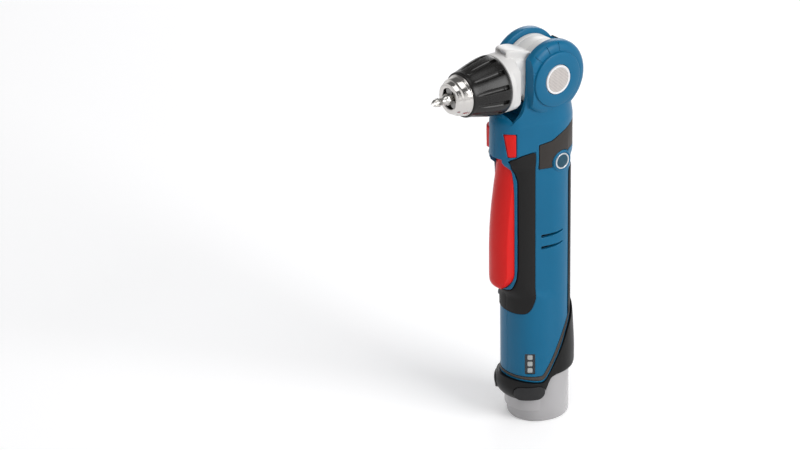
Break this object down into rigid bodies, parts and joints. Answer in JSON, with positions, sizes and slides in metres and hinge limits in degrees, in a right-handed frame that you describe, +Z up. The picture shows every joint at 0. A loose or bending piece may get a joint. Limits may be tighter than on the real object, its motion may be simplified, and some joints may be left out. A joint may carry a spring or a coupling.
{
  "type": "right angle drill",
  "caption": "Cordless right angle drill: tilting gear head with keyless chuck, slim paddle-trigger handle and slide-in battery.",
  "frame": {"origin": "middle of the battery's flat base, on the axis of the drive shaft", "axes": "+Z up the handle, +X the way the chuck points at rest, +Y towards the release button"},
  "size_m": [0.1065, 0.0422, 0.2599],
  "materials": {
    "blue_shell": "satin moulded",
    "soft_grip": "fine grain",
    "dark_panel": "matt",
    "trim_strip": "satin",
    "badge_silver": "satin",
    "smoked_window": "gloss",
    "lamp": "gloss",
    "screw_steel": "blackened",
    "light_cap": "fine grain",
    "bush_bronze": "sintered",
    "motor_steel": "zinc plated",
    "black_plastic": "matt",
    "gear_steel": "ground",
    "gear_brass": "sintered",
    "board_green": "lacquered",
    "copper": "enamelled wire",
    "fan_plastic": "matt",
    "head_casting": "satin light grey",
    "lens": "clear",
    "bearing_steel": "polished",
    "chuck_steel": "polished",
    "sleeve_black": "satin",
    "bit_steel": "satin",
    "spring_steel": "drawn",
    "red_plastic": "satin",
    "switch_white": "matt",
    "battery_grey": "satin",
    "cell_wrap": "shrink film"
  },
  "bodies": {
    "handle": {"housing_left": "blue_shell", "housing_right": "blue_shell", "grip_left": "soft_grip", "grip_right": "soft_grip", "rear_grip": "soft_grip", "rear_panel": "dark_panel", "badges": "badge_silver", "tail_boot": "soft_grip", "trim_band": "trim_strip", "gauge_window": "smoked_window", "gauge_leds": "lamp", "housing_screws": "screw_steel", "hinge_cover_left": "blue_shell", "hinge_cover_right": "blue_shell", "hinge_cap": "light_cap", "pivot_bushes": "bush_bronze", "motor_can": "motor_steel", "motor_end_cap": "black_plastic", "gearbox_case": "motor_steel", "gearbox_cover": "motor_steel", "shaft_bearing": "bearing_steel", "switch_module": "black_plastic", "control_board": "board_green", "battery_terminals": "black_plastic", "button_spring": "spring_steel"},
    "head": {"head_housing": "head_casting", "led_lens": "lens", "rear_bearing": "bearing_steel", "front_bearing": "bearing_steel"},
    "output": {"output_bevel": "gear_steel", "spindle": "gear_steel", "chuck_body": "chuck_steel"},
    "sleeve": {"chuck_sleeve": "sleeve_black", "chuck_nut": "gear_steel"},
    "jaw_top": {"jaw_1": "chuck_steel"},
    "jaw_right": {"jaw_2": "chuck_steel"},
    "jaw_left": {"jaw_3": "chuck_steel"},
    "bit": {"bit": "bit_steel"},
    "idler": {"idler_bevel": "gear_steel"},
    "drive_train": {"drive_shaft": "gear_steel"},
    "drive_gear": {"drive_bevel": "gear_steel"},
    "carrier": {"carrier_1": "gear_steel"},
    "rotor": {"armature": "copper", "motor_shaft": "gear_steel", "motor_fan": "fan_plastic"},
    "planet_1a": {"planet_1a": "gear_brass"},
    "planet_1b": {"planet_1b": "gear_brass"},
    "planet_1c": {"planet_1c": "gear_brass"},
    "planet_2a": {"planet_2a": "gear_brass"},
    "planet_2b": {"planet_2b": "gear_brass"},
    "planet_2c": {"planet_2c": "gear_brass"},
    "release_button": {"release_button": "light_cap"},
    "trigger": {"trigger": "red_plastic"},
    "plunger": {"switch_plunger": "switch_white"},
    "direction_switch": {"direction_switch": "red_plastic"},
    "battery": {"battery_case": "battery_grey", "battery_cells": "cell_wrap"},
    "battery_button_left": {"battery_button_left": "black_plastic"},
    "battery_button_right": {"battery_button_right": "black_plastic"}
  },
  "joints": [
    {"name": "head_tilt", "type": "hinge", "parent": "handle", "child": "head", "pos_m": [0, 0, 0.236], "axis": [0, -1, 0], "range_deg": [0, 90]},
    {"name": "spindle_spin", "type": "hinge", "parent": "head", "child": "output", "pos_m": [0, 0, 0.236], "axis": [1, 0, 0], "continuous": true},
    {"name": "idler_spin", "type": "hinge", "parent": "head", "child": "idler", "pos_m": [0, 0, 0.236], "axis": [0, 1, 0], "continuous": true},
    {"name": "shaft_spin", "type": "hinge", "parent": "handle", "child": "drive_train", "pos_m": [0, 0, 0.236], "axis": [0, 0, 1], "continuous": true},
    {"name": "carrier_spin", "type": "hinge", "parent": "handle", "child": "carrier", "pos_m": [0, 0, 0.18], "axis": [0, 0, 1], "continuous": true},
    {"name": "rotor_spin", "type": "hinge", "parent": "handle", "child": "rotor", "pos_m": [0, 0, 0.14], "axis": [0, 0, 1], "continuous": true},
    {"name": "planet_1a_spin", "type": "hinge", "parent": "carrier", "child": "planet_1a", "pos_m": [0.0081, 0, 0.1765], "axis": [0, 0, 1], "continuous": true},
    {"name": "planet_2a_spin", "type": "hinge", "parent": "drive_train", "child": "planet_2a", "pos_m": [0.0081, 0, 0.188], "axis": [0, 0, 1], "continuous": true},
    {"name": "planet_1b_spin", "type": "hinge", "parent": "carrier", "child": "planet_1b", "pos_m": [-0.00405, 0.00701, 0.1765], "axis": [0, 0, 1], "continuous": true},
    {"name": "planet_2b_spin", "type": "hinge", "parent": "drive_train", "child": "planet_2b", "pos_m": [-0.00405, 0.00701, 0.188], "axis": [0, 0, 1], "continuous": true},
    {"name": "planet_1c_spin", "type": "hinge", "parent": "carrier", "child": "planet_1c", "pos_m": [-0.00405, -0.00701, 0.1765], "axis": [0, 0, 1], "continuous": true},
    {"name": "planet_2c_spin", "type": "hinge", "parent": "drive_train", "child": "planet_2c", "pos_m": [-0.00405, -0.00701, 0.188], "axis": [0, 0, 1], "continuous": true},
    {"name": "drive_gear_turn", "type": "hinge", "parent": "drive_train", "child": "drive_gear", "pos_m": [0, 0, 0.236], "axis": [0, 0, 1], "range_deg": [0, 180]},
    {"name": "sleeve_turn", "type": "hinge", "parent": "output", "child": "sleeve", "pos_m": [0.04, 0, 0.236], "axis": [1, 0, 0], "range_deg": [0, 540]},
    {"name": "jaw_top_slide", "type": "slide", "parent": "output", "child": "jaw_top", "axis": [-0.9703, 0, 0.2419], "range_m": [0, 0.006]},
    {"name": "jaw_right_slide", "type": "slide", "parent": "output", "child": "jaw_right", "axis": [-0.9703, -0.2095, -0.121], "range_m": [0, 0.006]},
    {"name": "jaw_left_slide", "type": "slide", "parent": "output", "child": "jaw_left", "axis": [-0.9703, 0.2095, -0.121], "range_m": [0, 0.006]},
    {"name": "bit_slide", "type": "slide", "parent": "output", "child": "bit", "axis": [1, 0, 0], "range_m": [0, 0.03]},
    {"name": "release_press", "type": "slide", "parent": "handle", "child": "release_button", "axis": [0, -1, 0], "range_m": [0, 0.0016], "stiffness_N_per_m": 300, "springref_m": -0.002},
    {"name": "trigger_pull", "type": "hinge", "parent": "handle", "child": "trigger", "pos_m": [0.0274, 0, 0.184], "axis": [0, 1, 0], "range_deg": [0, 4.5], "stiffness_Nm_per_rad": 2, "springref_deg": -5.73},
    {"name": "plunger_slide", "type": "slide", "parent": "handle", "child": "plunger", "axis": [-1, 0, 0], "range_m": [0, 0.0042]},
    {"name": "direction_slide", "type": "slide", "parent": "handle", "child": "direction_switch", "axis": [0, 1, 0], "range_m": [0, 0.0024]},
    {"name": "battery_slide", "type": "slide", "parent": "handle", "child": "battery", "axis": [0, 0, -1], "range_m": [0, 0.09]},
    {"name": "battery_button_left_press", "type": "slide", "parent": "handle", "child": "battery_button_left", "axis": [-0.6691, -0.7431, 0], "range_m": [0, 0.0012], "stiffness_N_per_m": 400, "springref_m": -0.002},
    {"name": "battery_button_right_press", "type": "slide", "parent": "handle", "child": "battery_button_right", "axis": [-0.6691, 0.7431, 0], "range_m": [0, 0.0012], "stiffness_N_per_m": 400, "springref_m": -0.002}
  ],
  "couplings": [
    {"joint": "idler_spin", "follows": "spindle_spin", "ratio": 0.5},
    {"joint": "shaft_spin", "follows": "spindle_spin", "ratio": -1},
    {"joint": "carrier_spin", "follows": "spindle_spin", "ratio": -4.5},
    {"joint": "rotor_spin", "follows": "spindle_spin", "ratio": -20.25},
    {"joint": "planet_1a_spin", "follows": "spindle_spin", "ratio": 12.6},
    {"joint": "planet_2a_spin", "follows": "spindle_spin", "ratio": 2.8},
    {"joint": "planet_1b_spin", "follows": "spindle_spin", "ratio": 12.6},
    {"joint": "planet_2b_spin", "follows": "spindle_spin", "ratio": 2.8},
    {"joint": "planet_1c_spin", "follows": "spindle_spin", "ratio": 12.6},
    {"joint": "planet_2c_spin", "follows": "spindle_spin", "ratio": 2.8},
    {"joint": "drive_gear_turn", "follows": "head_tilt", "ratio": 2},
    {"joint": "jaw_top_slide", "follows": "sleeve_turn", "m_per_rad": 0.00063662},
    {"joint": "jaw_right_slide", "follows": "sleeve_turn", "m_per_rad": 0.00063662},
    {"joint": "jaw_left_slide", "follows": "sleeve_turn", "m_per_rad": 0.00063662},
    {"joint": "plunger_slide", "follows": "trigger_pull", "m_per_rad": 0.052}
  ]
}
